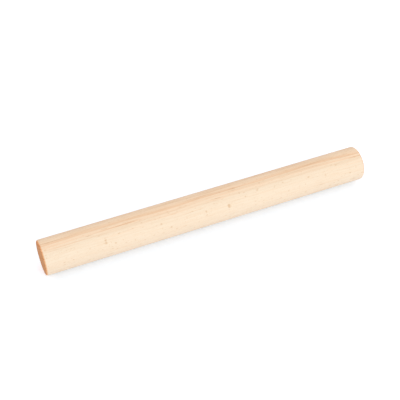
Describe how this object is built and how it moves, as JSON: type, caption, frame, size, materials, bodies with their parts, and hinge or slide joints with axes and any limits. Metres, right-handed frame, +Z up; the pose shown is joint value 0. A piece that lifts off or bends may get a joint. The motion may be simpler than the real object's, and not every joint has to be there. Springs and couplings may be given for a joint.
{
  "type": "rolling pin",
  "caption": "Straight one-piece wooden rolling pin: a plain turned beech cylinder with flat ends and eased rims, rolled under both palms to flatten dough.",
  "frame": {"origin": "middle of the rod, on the axis it rolls about", "axes": "+X along the rod, +Z up when the pin lies on a table, +Y the way it rolls"},
  "size_m": [0.29, 0.03, 0.03],
  "materials": {
    "beech": "fine-sanded pale beech with a thin matt oil"
  },
  "bodies": {
    "root": {"turned_rod": "beech"}
  },
  "joints": []
}
